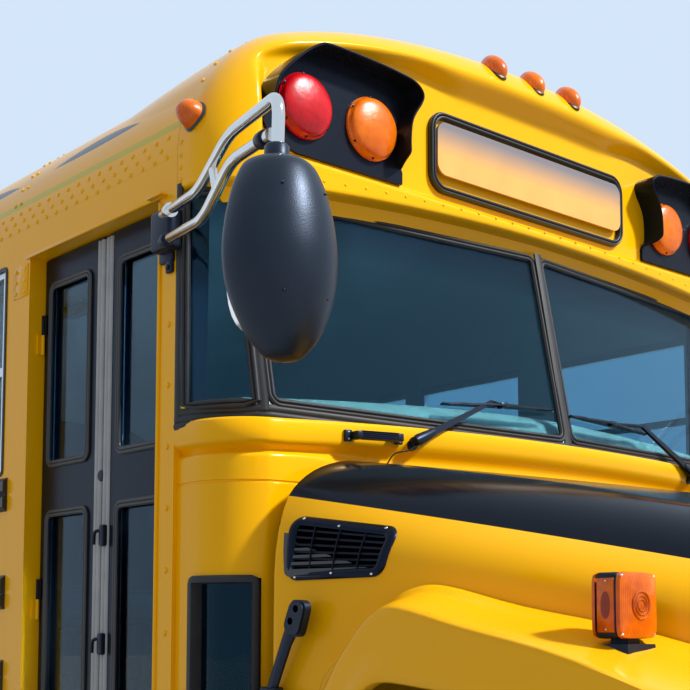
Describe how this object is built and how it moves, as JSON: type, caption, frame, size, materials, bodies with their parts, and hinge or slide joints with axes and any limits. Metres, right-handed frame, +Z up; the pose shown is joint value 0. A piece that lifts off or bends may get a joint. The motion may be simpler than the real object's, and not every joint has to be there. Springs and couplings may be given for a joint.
{
  "type": "conventional school bus",
  "caption": "Long-nosed school bus with a tilting hood, folding-out entry doors, egg-shaped mirrors, stop arm, benches inside and a rear exit.",
  "frame": {"origin": "on the road under the middle of the bus", "axes": "-Y is the direction of travel, +X the bus's left, +Z up"},
  "size_m": [3.3494, 11.14, 3.108],
  "materials": {
    "chassis_black": "satin chassis paint",
    "cast_metal": "cast metal",
    "bumper_black": "gloss black paint",
    "exhaust_steel": "aluminised steel",
    "tank_steel": "black paint",
    "floor_rubber": "ribbed rubber floor covering",
    "step_metal": "grey-green painted steel",
    "body_yellow": "gloss yellow enamel",
    "cap_yellow": "gloss yellow moulding",
    "rail_black": "gloss black paint",
    "sash_aluminium": "mill aluminium",
    "side_glass": "tinted glass",
    "front_glass": "tinted laminated glass",
    "window_rubber": "ribbed black rubber",
    "sign_face": "blank amber-yellow sign face",
    "plate_black": "moulded black plastic",
    "red_lens": "red moulded lens",
    "amber_lens": "amber moulded lens",
    "mirror_tube": "stainless tube",
    "mirror_shell": "grained black plastic",
    "seat_vinyl": "dark blue-green vinyl",
    "seat_steel": "black paint",
    "driver_fabric": "dark woven fabric",
    "dash_plastic": "moulded plastic",
    "wheel_rim_plastic": "black grip plastic",
    "bracket_black": "black paint",
    "wiper_black": "satin black",
    "grille_grey": "silver-grey moulding",
    "headlamp_glass": "clear lens",
    "door_black": "gloss black paint",
    "stop_red": "reflective red sheet",
    "hatch_white": "white moulding",
    "rim_steel": "black wheel paint",
    "tyre": "black rubber"
  },
  "bodies": {
    "root": {"frame_rails": "chassis_black", "engine_block": "cast_metal", "bumpers": "bumper_black", "axles": "chassis_black", "driveshaft": "chassis_black", "exhaust": "exhaust_steel", "fuel_tank": "tank_steel", "floor": "floor_rubber", "stepwell": "step_metal", "side_wall_left": "body_yellow", "side_wall_right": "body_yellow", "skirts": "body_yellow", "door_frame": "body_yellow", "roof": "body_yellow", "front_cap": "cap_yellow", "rear_wall": "body_yellow", "cowl": "cap_yellow", "rub_rails": "rail_black", "window_sashes": "sash_aluminium", "window_panes": "side_glass", "windshield_glass": "front_glass", "rubber_surrounds": "window_rubber", "sign_panel": "sign_face", "lamp_plates": "plate_black", "red_lamps": "red_lens", "amber_lamps": "amber_lens", "mirror_arms": "mirror_tube", "mirror_heads": "mirror_shell", "passenger_seats": "seat_vinyl", "seat_legs": "seat_steel", "driver_seat": "driver_fabric", "dashboard": "dash_plastic", "steering_wheel": "wheel_rim_plastic", "stop_arm_mount": "bracket_black", "wipers": "wiper_black"},
    "hood": {"hood": "cap_yellow", "grille": "grille_grey", "headlamps": "headlamp_glass", "turn_signals": "amber_lens", "crossview_mirrors": "mirror_shell"},
    "entry_front": {"entry_leaf_front": "door_black", "entry_glass_front": "side_glass"},
    "entry_rear": {"entry_leaf_rear": "door_black", "entry_glass_rear": "side_glass"},
    "rear_door": {"emergency_door": "body_yellow", "emergency_glass": "side_glass"},
    "stop_sign": {"stop_arm": "stop_red"},
    "hatch": {"roof_hatch": "hatch_white"},
    "knuckle_left": {"knuckle_left": "chassis_black"},
    "knuckle_right": {"knuckle_right": "chassis_black"},
    "wheel_front_left": {"tyre_front_left": "tyre", "rim_front_left": "rim_steel"},
    "wheel_front_right": {"tyre_front_right": "tyre", "rim_front_right": "rim_steel"},
    "wheel_rear_left": {"tyres_rear_left": "tyre", "rims_rear_left": "rim_steel"},
    "wheel_rear_right": {"tyres_rear_right": "tyre", "rims_rear_right": "rim_steel"}
  },
  "joints": [
    {"name": "hood_tilt", "type": "hinge", "parent": "root", "child": "hood", "pos_m": [0, -5.42, 0.83], "axis": [1, 0, 0], "range_deg": [0, 65]},
    {"name": "entry_front_swing", "type": "hinge", "parent": "root", "child": "entry_front", "pos_m": [-1.173, -3.351, 1.4], "axis": [0, 0, 1], "range_deg": [0, 90]},
    {"name": "entry_rear_swing", "type": "hinge", "parent": "root", "child": "entry_rear", "pos_m": [-1.173, -2.641, 1.4], "axis": [0, 0, -1], "range_deg": [0, 90]},
    {"name": "rear_door_swing", "type": "hinge", "parent": "root", "child": "rear_door", "pos_m": [-0.48, 5.476, 1.7], "axis": [0, 0, 1], "range_deg": [0, 110]},
    {"name": "stop_arm_swing", "type": "hinge", "parent": "root", "child": "stop_sign", "pos_m": [1.277, -2.46, 1.622], "axis": [0, 0, -1], "range_deg": [0, 90]},
    {"name": "hatch_lift", "type": "hinge", "parent": "root", "child": "hatch", "pos_m": [0, -0.0915, 3.05914], "axis": [-1, 0, 0], "range_deg": [0, 90]},
    {"name": "steer_left", "type": "hinge", "parent": "root", "child": "knuckle_left", "pos_m": [0.875, -4.67, 0.52], "axis": [0, 0, 1], "range_deg": [-40, 40]},
    {"name": "front_wheel_left", "type": "hinge", "parent": "knuckle_left", "child": "wheel_front_left", "pos_m": [1.025, -4.67, 0.52], "axis": [1, 0, 0], "continuous": true},
    {"name": "rear_wheels_left", "type": "hinge", "parent": "root", "child": "wheel_rear_left", "pos_m": [0.9, 2.26, 0.52], "axis": [1, 0, 0], "continuous": true},
    {"name": "steer_right", "type": "hinge", "parent": "root", "child": "knuckle_right", "pos_m": [-0.875, -4.67, 0.52], "axis": [0, 0, 1], "range_deg": [-40, 40]},
    {"name": "front_wheel_right", "type": "hinge", "parent": "knuckle_right", "child": "wheel_front_right", "pos_m": [-1.025, -4.67, 0.52], "axis": [1, 0, 0], "continuous": true},
    {"name": "rear_wheels_right", "type": "hinge", "parent": "root", "child": "wheel_rear_right", "pos_m": [-0.9, 2.26, 0.52], "axis": [1, 0, 0], "continuous": true}
  ],
  "couplings": [
    {"joint": "steer_right", "follows": "steer_left", "ratio": 1},
    {"joint": "entry_rear_swing", "follows": "entry_front_swing", "ratio": 1}
  ]
}
